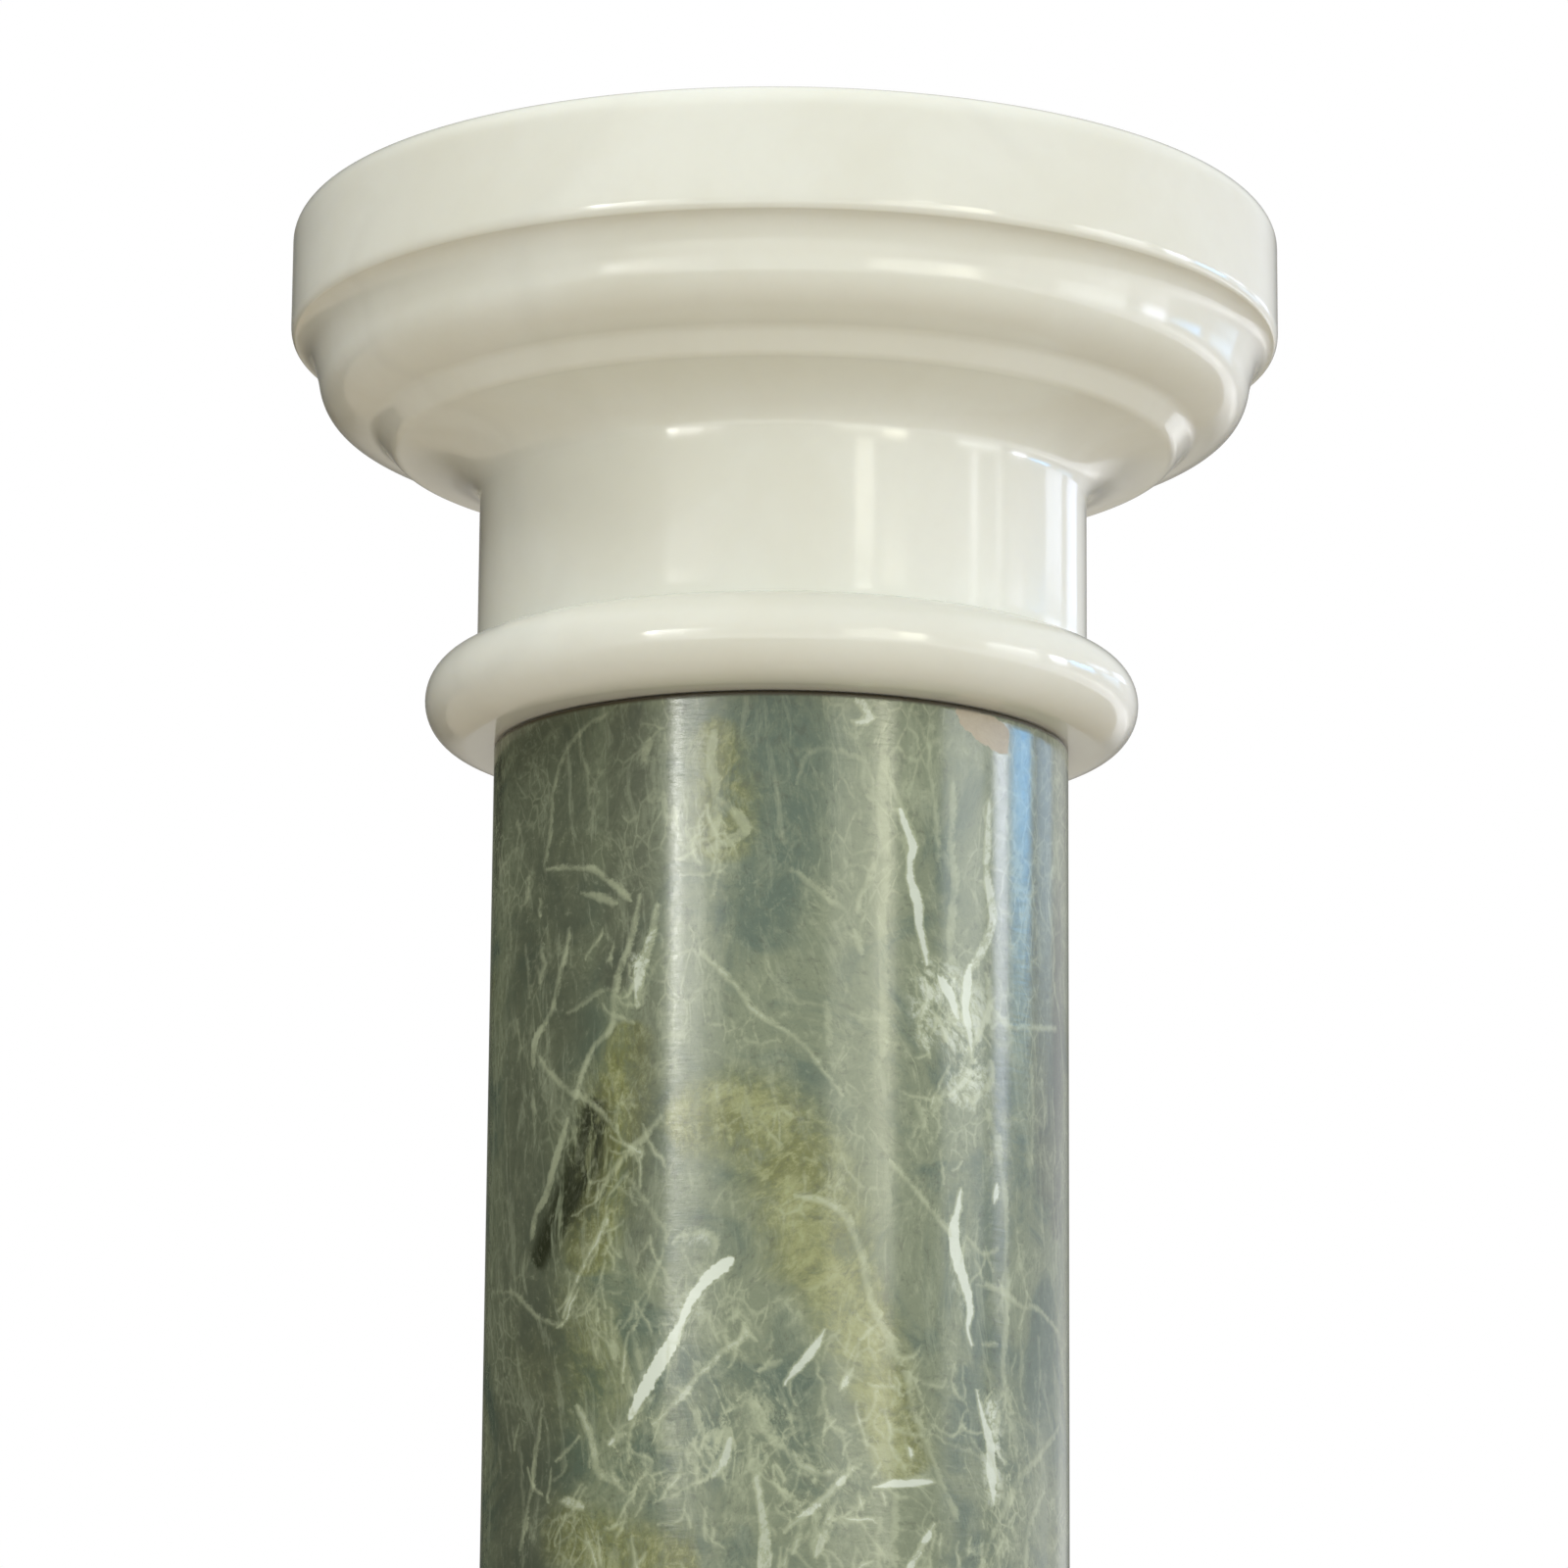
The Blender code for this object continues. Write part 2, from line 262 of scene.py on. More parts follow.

# Broad soft patches of each kind: strength, then (x, y, width) in pixels. Some of the deep and dark ones are
# painted shade on the shaft's sides.
SEEN_PATCHES = {
    "dark_and_shade": (
        (1.0, (606, 1125, 40), (602, 1160, 66), (592, 1195, 78), (577, 1228, 70), (563, 1256, 60),
         (548, 1288, 40)),
        # Painted shade: this one darkens the shaft's shaded left edge
        (0.5, (509, 720, 60), (509, 900, 50)),
    ),
    "deep_and_shade": (
        # Painted shade: the first two patches darken the shaft's shaded left side and its top left under the
        # ring
        (0.93, (556, 730, 250), (560, 860, 260), (556, 1000, 240), (545, 1120, 220), (535, 1250, 200),
         (535, 1400, 220), (530, 1600, 200)),
        (0.95, (640, 730, 100), (640, 860, 110), (630, 1000, 96)),
        (0.55, (660, 1000, 50), (658, 1120, 56), (655, 1200, 60), (652, 1290, 50)),
        (0.5, (606, 1110, 60), (602, 1190, 76), (585, 1290, 70)),
        # Painted shade: these two darken the shaft's shaded right edge
        (0.8, (1078, 900, 50), (1079, 1080, 60), (1078, 1260, 50)),
        (0.62, (1066, 760, 70), (1062, 1000, 80), (1068, 1220, 60)),
    ),
    "teal": (
        (0.9, (600, 1030, 40), (598, 1060, 50), (575, 1090, 30)),
        (1.0, (790, 730, 190), (795, 860, 130), (775, 960, 80)),
        (0.6, (820, 1090, 50), (850, 1150, 60)),
        (0.9, (607, 1400, 30), (607, 1425, 34)),
        (0.9, (585, 1470, 36), (585, 1500, 40)),
        (0.9, (655, 1475, 30), (675, 1500, 36)),
        (0.6, (800, 1340, 30), (810, 1440, 60), (820, 1520, 40)),
        (0.9, (760, 1560, 24), (752, 1600, 40)),
        (0.8, (985, 1400, 30), (980, 1460, 40), (975, 1500, 30)),
        (0.8, (1000, 1180, 40), (1005, 1260, 46), (990, 1340, 44)),
    ),
    "olive": (
        (1.0, (645, 1050, 60), (630, 1120, 100), (612, 1200, 110), (595, 1290, 80)),
        (1.0, (690, 1145, 80), (760, 1140, 110), (810, 1190, 130), (840, 1290, 130)),
        (1.0, (830, 1270, 110), (880, 1350, 90), (905, 1430, 80), (925, 1500, 70)),
        (0.8, (728, 740, 50), (740, 810, 80), (735, 870, 70)),
        (0.9, (560, 1560, 80), (640, 1590, 90), (700, 1600, 90)),
    ),
    "pale_olive": (
        (0.85, (800, 1210, 50), (840, 1290, 80), (875, 1370, 80), (898, 1440, 50), (915, 1500, 50)),
        (0.7, (676, 1150, 24), (715, 1122, 36), (760, 1122, 36), (800, 1160, 40)),
    ),
    "pale": (
        (0.7, (740, 780, 40), (745, 850, 60)),
        (0.6, (545, 950, 60), (545, 1050, 60)),
        (0.6, (655, 940, 30), (655, 1000, 44)),
        (1.0, (965, 1000, 50), (980, 1040, 70), (988, 1100, 60)),
        (0.9, (640, 1500, 130), (760, 1450, 160), (860, 1540, 140)),
        (0.9, (1016, 1420, 70), (1030, 1500, 90), (1010, 1590, 110)),
        (0.5, (720, 1260, 60), (690, 1400, 110), (640, 1470, 80)),
    ),
    "cream": (
        (0.72, (960, 996, 56), (975, 1030, 100), (984, 1070, 64)),
        (0.75, (944, 980, 30), (942, 1020, 38), (944, 1066, 26)),
        (0.66, (988, 1078, 60), (988, 1100, 78), (980, 1124, 50)),
        (0.42, (742, 1290, 18), (712, 1320, 28), (682, 1378, 36), (652, 1430, 26)),
        (0.6, (975, 1240, 16), (980, 1300, 30), (988, 1340, 18)),
        (0.9, (1012, 1430, 22), (1013, 1490, 36), (1013, 1535, 18)),
        (0.6, (650, 975, 20), (652, 1010, 24)),
        (0.5, (700, 1262, 20), (722, 1262, 22)),
    ),
}

# Middles of clumps of short threads, in pixels
SEEN_CLUMPS = (
    (632, 1372), (640, 1500), (690, 1480), (736, 1440), (775, 1500), (700, 1570), (620, 1560),
    (800, 1400), (812, 1560), (850, 1480), (880, 1570), (945, 1590), (960, 1400), (1005, 1440), (1035, 1530),
    (1000, 1590), (735, 1345), (560, 1480), (975, 1060), (955, 1130), (1020, 1290), (640, 980), (720, 845),
    (645, 1180), (615, 1235), (655, 1305), (600, 1330), (890, 1400), (905, 1470),
)

# The filled chip below the joint, in pixels
SEEN_CHIP = ((973, 722), (1003, 727), (1023, 737), (1029, 744), (1030, 756), (1028, 770), (1014, 766),
             (998, 756), (982, 742))

# Veins and threads: how they are kept on the shaft's points, and the seeded ones on its hidden parts
VEIN_LAYERS = 6
VEIN_REACH = 0.012
LAYER_CLEARANCE = 0.006
SHOWN_MARGIN = 0.003
FAR_MARGIN = 0.0055
FAR_VEINS = 230
BOLD_SHARE = 0.34
BOLD_VEIN = ((0.04, 0.09), (0.0014, 0.0036), 0.12, (0.80, 1.0))
FAINT_VEIN = ((0.05, 0.16), (0.0005, 0.0010), 0.35, (0.4, 0.7))
FAR_CLUMPS = 130
CLUMP_THREADS = 9
FIBRE_TWIST = 4.6
FAR_AWAY = 9.0

# Light that comes from each side, by degrees round the column from the camera, towards its right
SKY_ROUND = {
    -180: (0.45, 0.44, 0.42),
    -165: (0.02, 0.02, 0.02),
    -110: (0.02, 0.02, 0.02),
    -92: (0.04, 0.04, 0.04),
    -65: (0.23, 0.22, 0.20),
    -30: (1.29, 1.31, 1.26),
    0: (1.09, 1.12, 1.06),
    60: (1.02, 1.03, 1.03),
    90: (1.02, 1.04, 1.11),
    120: (1.00, 1.02, 1.12),
    148: (0.93, 0.95, 1.00),
    156: (0.64, 0.64, 0.66),
    168: (0.16, 0.16, 0.16),
    180: (0.45, 0.44, 0.42),
}
SKY_OVERHEAD = (0.84, 0.85, 0.83)

# How much brighter the sky is below the horizon, beyond the floor's edge
SKY_LOW = 1.8

# Tall soft lights that show only as reflections: degrees round the column from the camera towards its right,
# lowest and highest point, width, brightness at the foot and at the top, and colour
TALL_LIGHTS = {
    "left_core_low": (-40, 1.62, 2.13, 0.20, 0.8, 10.0, (1.0, 1.0, 0.96)),
    "left_core_high": (-40.5, 2.13, 2.37, 0.15, 32.0, 14.0, (1.0, 1.0, 0.96)),
    "left_glow": (-34, 1.62, 2.37, 0.36, 1.0, 7.5, (1.0, 1.0, 0.98)),
    "left_haze": (-26, 1.62, 2.37, 0.40, 0.6, 2.4, (1.0, 1.0, 0.98)),
    "right_wide": (32, 1.60, 2.34, 1.16, 2.4, 2.4, (1.0, 1.0, 0.88)),
    "right_band": (40.5, 1.66, 2.38, 0.38, 1.3, 5.6, (1.0, 0.97, 0.76)),
    "right_neck": (29.6, 2.42, 2.60, 0.30, 3.9, 3.9, (1.0, 0.99, 0.86)),
    "right_broad": (76, 1.66, 2.38, 0.90, 1.2, 4.4, (0.95, 1.0, 1.02)),
    "side_white": (96, 1.80, 2.37, 0.34, 1.0, 11.0, (0.94, 1.0, 1.20)),
    "side_blue": (109, 2.05, 2.37, 0.58, 0.6, 7.0, (0.18, 0.68, 1.40)),
    "side_far": (128, 2.05, 2.37, 0.60, 0.3, 1.3, (0.50, 0.90, 1.40)),
    "side_low": (112, 1.60, 1.86, 1.70, 1.0, 0.1, (0.98, 1.0, 0.96)),
    "side_low_far": (150, 1.60, 1.86, 0.60, 0.5, 0.1, (0.98, 1.0, 0.96)),
    "neck_stripe_front": (74.6, 2.42, 2.60, 0.15, 3.0, 3.0, (0.95, 1.0, 1.05)),
    "neck_stripe_next": (86.8, 2.42, 2.60, 0.13, 1.5, 1.5, (0.95, 1.0, 1.05)),
    "neck_stripe_side": (121.5, 2.42, 2.60, 0.56, 2.0, 2.0, (0.75, 0.85, 1.10)),
    "neck_stripe_back": (139, 2.40, 2.60, 0.50, 1.6, 1.6, (0.70, 0.80, 1.10)),
}
LIGHT_SLICES = 7
LIGHT_DISTANCE = 2.5
FLOOR_REACH = 7.0

# A soft light above and to the left that lights the stone but doesn't show in it: degrees round the column
TOP_LIGHT_TURN = -75
TOP_LIGHT_HEIGHT = 5.0
TOP_LIGHT_WIDTH = 1.5
TOP_LIGHT_POWER = 46.0


def camera_matrix():
    """Where the camera stands and how it is turned."""
    place = Matrix.Translation((0.0, -CAMERA_DISTANCE, COLUMN_HEIGHT - CAMERA_BELOW_TOP))
    yaw = Matrix.Rotation(math.radians(CAMERA_YAW), 4, "Z")
    pitch = Matrix.Rotation(math.radians(90.0 + CAMERA_PITCH), 4, "X")
    roll = Matrix.Rotation(math.radians(CAMERA_ROLL), 4, "Z")
    return place @ yaw @ pitch @ roll


def add_object(name, data):
    """A new object with this data, in the scene."""
    thing = bpy.data.objects.new(name, data)
    bpy.context.scene.collection.objects.link(thing)
    return thing


def make_camera():
    data = bpy.data.cameras.new("camera")
    data.sensor_width = SENSOR_WIDTH
    data.lens = FOCAL_LENGTH / PICTURE_SIDE * SENSOR_WIDTH
    camera = add_object("camera", data)
    camera.matrix_world = camera_matrix()
    bpy.context.scene.camera = camera


def arc(centre, reach, rise, start, end, steps=ARC_STEPS):
    """Points of part of an ellipse about centre. Angle 0 points outwards and 90 points up."""
    points = []
    for step in range(steps + 1):
        angle = math.radians(start + (end - start) * step / steps)
        points.append((centre[0] + reach * math.cos(angle), centre[1] + rise * math.sin(angle)))
    return points


def bow(start, end, across, down):
    """Points of a smooth bend from start to end, without start.

    The bend's corner lies these shares of the way across and down.
    """
    corner = (start[0] + across * (end[0] - start[0]), start[1] + down * (end[1] - start[1]))
    points = []
    for step in range(1, ARC_STEPS + 1):
        share = step / ARC_STEPS
        first = (1 - share) ** 2
        middle = 2 * share * (1 - share)
        last = share ** 2
        points.append((first * start[0] + middle * corner[0] + last * end[0],
                       first * start[1] + middle * corner[1] + last * end[1]))
    return points


def spaced(start, end, gap):
    """Points from start to end, no more than gap apart, without start."""
    count = max(1, math.ceil(math.dist(start, end) / gap - 0.001))
    return [
        (start[0] + (end[0] - start[0]) * step / count, start[1] + (end[1] - start[1]) * step / count)
        for step in range(1, count + 1)
    ]


def worn(points, reach):
    """The line through the points with its corners worn round over this length to each side."""
    step = reach / WEAR_STEPS
    dense = [points[0]]
    for start, end in zip(points, points[1:]):
        dense += spaced(start, end, step)
    dense = np.array(dense)
    line = []
    for number in range(0, len(dense), 2):
        side = min(WEAR_STEPS, number, len(dense) - 1 - number)
        line.append(tuple(dense[number - side:number + side + 1].mean(axis=0)))
    return line


def softened(outline, radius):
    """The outline with each of its corners turned into a small curve."""
    soft = [outline[0]]
    for before, corner, after in zip(outline, outline[1:], outline[2:]):
        to_before = Vector(before) - Vector(corner)
        to_after = Vector(after) - Vector(corner)
        turn = math.pi - to_before.angle(to_after, math.pi)
        if turn < math.radians(CREASE_TURN):
            soft.append(corner)
            continue
        reach = min(radius, 0.45 * to_before.length, 0.45 * to_after.length)
        first = Vector(corner) + to_before.normalized() * reach
        last = Vector(corner) + to_after.normalized() * reach
        for step in range(5):
            share = step / 4
            point = first * (1 - share) ** 2 + Vector(corner) * 2 * share * (1 - share) + last * share ** 2
            soft.append((point.x, point.y))
    soft.append(outline[-1])
    return soft


def capital_outline():
    """The capital's outline, from the middle of its top down to the middle of its underside."""
    foot = COLUMN_HEIGHT - CAPITAL_HEIGHT
    disc_foot = COLUMN_HEIGHT - DISC_HEIGHT
    cove_foot = disc_foot - COVE_HEIGHT
    face_foot = cove_foot - FACE_HEIGHT
    shoulder_foot = face_foot - SHOULDER_HEIGHT
    cavetto_foot = shoulder_foot - FILLET_HEIGHT - CAVETTO_HEIGHT
    cavetto_radius = NECK_RADIUS + CAVETTO_REACH
    fillet_radius = cavetto_radius + FILLET_REACH
    face_radius = fillet_radius + SHOULDER_REACH
    cove_radius = face_radius + FACE_REACH + COVE_REACH
    disc_radius = cove_radius + DISC_LOWER_ROUNDING
    ring_centre = (NECK_RADIUS + RING_SEAT_REACH, foot + RING_HEIGHT / 2)
    disc_edge = (disc_radius - DISC_UPPER_ROUNDING, COLUMN_HEIGHT - DISC_UPPER_ROUNDING)

    outline = [(0.0, COLUMN_HEIGHT)]
    outline += arc(disc_edge, DISC_UPPER_ROUNDING, DISC_UPPER_ROUNDING, 90, 0)
    outline += spaced(outline[-1], (disc_radius, disc_foot + DISC_LOWER_RISE), 0.004)[:-1]
    outline += arc((cove_radius, disc_foot + DISC_LOWER_RISE), DISC_LOWER_ROUNDING, DISC_LOWER_RISE, 0, -90)
    moulding = [(cove_radius, disc_foot)]
    moulding += bow(moulding[-1], (face_radius + FACE_REACH, cove_foot), *COVE_CORNER)
    moulding += [(face_radius, face_foot)]
    moulding += bow(moulding[-1], (fillet_radius, shoulder_foot), *SHOULDER_CORNER)
    moulding += arc((cavetto_radius, cavetto_foot), CAVETTO_REACH, CAVETTO_HEIGHT, 90, 180)
    outline += worn(moulding, MOULDING_WEAR)
    outline += spaced(outline[-1], (NECK_RADIUS, foot + RING_HEIGHT), 0.006)
    outline += arc(ring_centre, RING_HEIGHT / 2, RING_HEIGHT / 2, 90, -90, 2 * ARC_STEPS)
    outline += [(0.0, foot)]
    return softened(outline, CREASE_RADIUS)


def base_outline():
    """The base's outline, from the middle of its top down to the middle of its underside."""
    neck_foot = BASE_HEIGHT - BASE_NECK_HEIGHT
    fillet_radius = BASE_NECK_RADIUS + BASE_CAVETTO_REACH
    torus_centre = (fillet_radius + TORUS_SEAT_REACH, PLINTH_HEIGHT + TORUS_HEIGHT / 2)
    plinth_edge = PLINTH_RADIUS - PLINTH_ROUNDING

    outline = [(0.0, BASE_HEIGHT)]
    outline += arc((BASE_NECK_RADIUS - BASE_EDGE, BASE_HEIGHT - BASE_EDGE), BASE_EDGE, BASE_EDGE, 90, 0, 8)
    outline += arc((fillet_radius, neck_foot), BASE_CAVETTO_REACH, BASE_CAVETTO_HEIGHT, 180, 270)
    outline += [(fillet_radius, PLINTH_HEIGHT + TORUS_HEIGHT)]
    outline += arc(torus_centre, TORUS_HEIGHT / 2, TORUS_HEIGHT / 2, 90, -90, 2 * ARC_STEPS)
    plinth_top = PLINTH_HEIGHT - PLINTH_ROUNDING
    outline += arc((plinth_edge, plinth_top), PLINTH_ROUNDING, PLINTH_ROUNDING, 90, 0, 8)
    outline += spaced(outline[-1], (PLINTH_RADIUS, PLINTH_ROUNDING), 0.006)[:-1]
    outline += arc((plinth_edge, PLINTH_ROUNDING), PLINTH_ROUNDING, PLINTH_ROUNDING, 0, -90, 8)
    outline += [(0.0, 0.0)]
    return softened(outline, CREASE_RADIUS)


def shaft_outline():
    """The shaft's outline, with rows close together where the camera sees it."""
    outline = [(0.0, SHAFT_TOP), (SHAFT_RADIUS - SHAFT_EDGE, SHAFT_TOP)]
    outline += [(SHAFT_RADIUS, SHAFT_TOP - SHAFT_EDGE)]
    outline += spaced(outline[-1], (SHAFT_RADIUS, SHOWN_FOOT), SHOWN_LENGTH / SHOWN_ROWS)
    plain_gap = (SHOWN_FOOT - SHAFT_FOOT) / PLAIN_ROWS
    outline += spaced(outline[-1], (SHAFT_RADIUS, SHAFT_FOOT + SHAFT_EDGE), plain_gap)
    outline += [(SHAFT_RADIUS - SHAFT_EDGE, SHAFT_FOOT), (0.0, SHAFT_FOOT)]
    return outline


def shaft_angles():
    """Angles about the axis, close together on the side that faces the camera."""
    front = np.linspace(-math.pi, 0.0, FRONT_SIDES, endpoint=False)
    back = np.linspace(0.0, math.pi, BACK_SIDES, endpoint=False)
    return np.concatenate([front, back])


def turned(name, outline, angles):
    """A solid made by turning an outline that starts and ends on the upright axis."""
    rings = outline[1:-1]
    sides = len(angles)
    radius = np.array([point[0] for point in rings])[:, None]
    height = np.array([point[1] for point in rings])[:, None]
    x = (radius * np.cos(angles)).ravel()
    y = (radius * np.sin(angles)).ravel()
    z = (height + 0.0 * angles).ravel()
    points = np.stack([x, y, z], axis=1).tolist()
    points += [(0.0, 0.0, outline[0][1]), (0.0, 0.0, outline[-1][1])]
    top_middle = len(points) - 2
    foot_middle = len(points) - 1

    faces = []
    for row in range(len(rings) - 1):
        for side in range(sides):
            after = (side + 1) % sides
            faces.append((row * sides + side, (row + 1) * sides + side,
                          (row + 1) * sides + after, row * sides + after))
    last = (len(rings) - 1) * sides
    for side in range(sides):
        after = (side + 1) % sides
        faces.append((top_middle, side, after))
        faces.append((foot_middle, last + after, last + side))
    mesh = bpy.data.meshes.new(name)
    mesh.from_pydata(points, [], faces)
    mesh.shade_smooth()
    mesh.set_sharp_from_angle(angle=math.radians(SHARP_TURN))
    return add_object(name, mesh)


def on_shaft(x, y):
    """Where a pixel of the photograph lies on the shaft: metres round it from the front, and height."""
    matrix = camera_matrix()
    start = matrix.translation
    ray = matrix.to_3x3() @ Vector((x - PICTURE_CENTRE, PICTURE_CENTRE - y, -FOCAL_LENGTH))
    across = ray.x ** 2 + ray.y ** 2
    along = start.x * ray.x + start.y * ray.y
    inside = along ** 2 - across * (start.x ** 2 + start.y ** 2 - SHAFT_RADIUS ** 2)
    point = start + ray * ((-along - math.sqrt(max(0.0, inside))) / across)
    return math.atan2(point.x, -point.y) * SHAFT_RADIUS, point.z


def smoothed(points, steps=5):
    """A smooth line through the points, as an array of rows."""
    rows = np.array([points[0], *points, points[-1]], dtype=float)
    line = []
    for number in range(1, len(rows) - 2):
        before, first, last, after = rows[number - 1:number + 3]
        for step in range(steps):
            t = step / steps
            line.append(0.5 * (2 * first + (last - before) * t
                               + (2 * before - 5 * first + 4 * last - after) * t ** 2
                               + (3 * first - before - 3 * last + after) * t ** 3))
    line.append(rows[-2])
    return np.array(line)


def side_thread(x, top, foot, strength):
    """A thin thread that winds a little on its way down."""
    chance = random.Random(x + top)
    points = [(x + chance.uniform(-3.0, 3.0), top + (foot - top) * step / 4, chance.uniform(2.5, 4.5))
              for step in range(5)]
    return (strength, *points)


def line_from_pixels(points):
    """A smooth line of (around, height, half width) in metres through pixels of the photograph."""
    return smoothed([(*on_shaft(x, y), width * PIXEL / 2) for x, y, width in points])


def distance_to_line(around, height, line):
    """Signed distance of points to a line of (around, height, half width), and the half width there."""
    best = np.full(len(around), FAR_AWAY)
    signed = np.full(len(around), FAR_AWAY)
    width = np.zeros(len(around))
    for number, (start, end) in enumerate(zip(line, line[1:])):
        run = end[:2] - start[:2]
        length = max(math.hypot(*run), 1e-9)
        run = run / length
        along = (around - start[0]) * run[0] + (height - start[1]) * run[1]
        side = (around - start[0]) * run[1] - (height - start[1]) * run[0]
        held = np.clip(along, 0.0, length)
        gap = np.hypot(side, along - held)
        past = np.zeros(len(around))
        if number == 0:
            past = np.maximum(0.0, -along)
        if number == len(line) - 2:
            past = np.maximum(past, along - length)
        nearer = gap < best
        best = np.where(nearer, gap, best)
        signed = np.where(nearer, np.where(side < 0.0, -gap, gap), signed)
        width = np.where(nearer, start[2] + (end[2] - start[2]) * held / length - 2.0 * past, width)
    return signed, width


def wandering(chance, place, heading, length, width, sway):
    """A smooth line from a place (around, height), thickest in its middle, that sways on its way."""
    around, height = place
    count = 6
    points = []
    for number in range(count):
        swell = math.sin(math.pi * (number + 0.3) / count)
        points.append((around, height, width * swell * chance.uniform(0.6, 1.2)))
        around += math.cos(heading) * length / count
        height += math.sin(heading) * length / count
        heading += chance.gauss(0.0, sway)
    return smoothed(points)


def far_veins(chance):
    """Veins in keeping on the sides and the length that the photograph doesn't show."""
    veins = []
    while len(veins) < FAR_VEINS:
        place = (chance.uniform(-HALF_ROUND, HALF_ROUND), chance.uniform(SHAFT_FOOT, SHAFT_TOP))
        bold = chance.random() < BOLD_SHARE
        if place[1] > SHOWN_FOOT - 0.01 and abs(place[0]) < SEEDED_REACH:
            continue
        heading = chance.gauss(math.radians(-115.0), math.radians(38.0))
        lengths, widths, sway, strengths = BOLD_VEIN if bold else FAINT_VEIN
        line = wandering(chance, place, heading, chance.uniform(*lengths), chance.uniform(*widths), sway)
        veins.append((chance.uniform(*strengths), line))
    return veins


def thread_clumps(chance):
    """Clumps of short crossing threads, where the photograph shows them and in keeping elsewhere."""
    middles = [on_shaft(x, y) for x, y in SEEN_CLUMPS]
    for _ in range(FAR_CLUMPS):
        place = (chance.uniform(-HALF_ROUND, HALF_ROUND), chance.uniform(SHAFT_FOOT, SHAFT_TOP))
        if place[1] < SHOWN_FOOT or abs(place[0]) > SHOWN_REACH:
            middles.append(place)
    threads = []
    for around, height in middles:
        for _ in range(CLUMP_THREADS):
            place = (around + chance.gauss(0.0, 0.009), height + chance.gauss(0.0, 0.011))
            heading = math.radians(chance.choice((-122.0, -95.0, -58.0))) + chance.gauss(0.0, 0.35)
            line = wandering(chance, place, heading, chance.uniform(0.008, 0.026),
                             chance.uniform(0.00016, 0.00054), 0.32)
            threads.append((chance.uniform(0.40, 0.82), line))
    return threads


def lay_veins(around, height):
    """Share the veins out over layers: for each point, signed distance, half width and strength."""
    seen = list(SEEN_VEINS) + [side_thread(*thread) for thread in SIDE_THREADS]
    veins = [(vein[0], line_from_pixels(vein[1:])) for vein in seen]
    chance = random.Random(11)
    veins += far_veins(chance) + thread_clumps(chance)
    shown = (height > SHOWN_FOOT) & (np.abs(around) < SHOWN_REACH)
    margin = np.where(shown, SHOWN_MARGIN, FAR_MARGIN)
    layers = [np.tile([1.0, -1.0, 0.0], (len(around), 1)) for _ in range(VEIN_LAYERS)]
    slack = [np.full(len(around), FAR_AWAY) for _ in range(VEIN_LAYERS)]
    for strength, line in veins:
        middle = line[:, 0].mean()
        line = line - (middle, 0.0, 0.0)
        beside = (around - middle + HALF_ROUND) % (2 * HALF_ROUND) - HALF_ROUND
        near = np.abs(beside) < np.abs(line[:, 0]).max() + VEIN_REACH
        near &= height > line[:, 1].min() - VEIN_REACH
        near &= height < line[:, 1].max() + VEIN_REACH
        near = np.flatnonzero(near)
        if len(near) == 0:
            continue
        signed, width = distance_to_line(beside[near], height[near], line)
        gap = np.abs(signed)
        width = width - 2.0 * np.maximum(0.0, gap - margin[near])
        close = near[gap < LAYER_CLEARANCE]
        free = [layer_slack[close].min(initial=FAR_AWAY) for layer_slack in slack]
        layer = int(np.argmax(free))
        closer = gap - width < slack[layer][near]
        chosen = near[closer]
        slack[layer][chosen] = (gap - width)[closer]
        layers[layer][chosen, 0] = signed[closer]
        layers[layer][chosen, 1] = width[closer]
        layers[layer][chosen, 2] = strength
    return layers


def lay_patches(around, height):
    """How strongly each kind of the photograph's patches shows at each point."""
    weights = np.zeros((len(around), len(SEEN_PATCHES)))
    for column, patches in enumerate(SEEN_PATCHES.values()):
        for strength, *points in patches:
            signed, width = distance_to_line(around, height, line_from_pixels(points))
            share = np.clip(1.25 - np.abs(signed) / np.maximum(width, 0.001), 0.0, 1.0)
            share = strength * share * share * (3.0 - 2.0 * share)
            weights[:, column] = np.maximum(weights[:, column], share)
    return weights


def distance_to_chip(around, height):
    """Signed distance to the chip's outline, positive inside it."""
    corners = np.array([on_shaft(x, y) for x, y in SEEN_CHIP])
    best = np.full(len(around), FAR_AWAY)
    inside = np.zeros(len(around), dtype=bool)
    for start, end in zip(corners, np.roll(corners, -1, axis=0)):
        run = end - start
        share = ((around - start[0]) * run[0] + (height - start[1]) * run[1]) / run.dot(run)
        share = np.clip(share, 0.0, 1.0)
        gap = np.hypot(around - start[0] - share * run[0], height - start[1] - share * run[1])
        best = np.minimum(best, gap)
        crosses = (start[1] > height) != (end[1] > height)
        reach = start[0] + (height - start[1]) * run[0] / (run[1] if run[1] else 1e-9)
        inside ^= crosses & (around < reach)
    return np.where(inside, best, -best)


def store(mesh, name, values):
    """Keep three numbers for each point of a mesh."""
    mesh.attributes.new(name, "FLOAT_VECTOR", "POINT").data.foreach_set("vector", values.ravel())


def mark_shaft(piece):
    """Keep the veins, the patches, the chip and the depth below the top, which drives the painted shade
    under the joint, on the shaft's points.
    """
    mesh = piece.data
    places = np.zeros(len(mesh.vertices) * 3)
    mesh.vertices.foreach_get("co", places)
    places = places.reshape(-1, 3)
    around = np.arctan2(places[:, 0], -places[:, 1]) * SHAFT_RADIUS
    height = places[:, 2]
    for number, layer in enumerate(lay_veins(around, height)):
        store(mesh, f"veins_{number}", layer)
    patches = lay_patches(around, height)
    store(mesh, "dim_patches", patches[:, :3])
    store(mesh, "light_patches", patches[:, 3:6])
    chip = distance_to_chip(around, height)
    # The depth below the shaft's top drives the painted shade under the joint
    store(mesh, "chip_shade_cream", np.stack([chip, SHAFT_TOP - height, patches[:, 6]], axis=1))


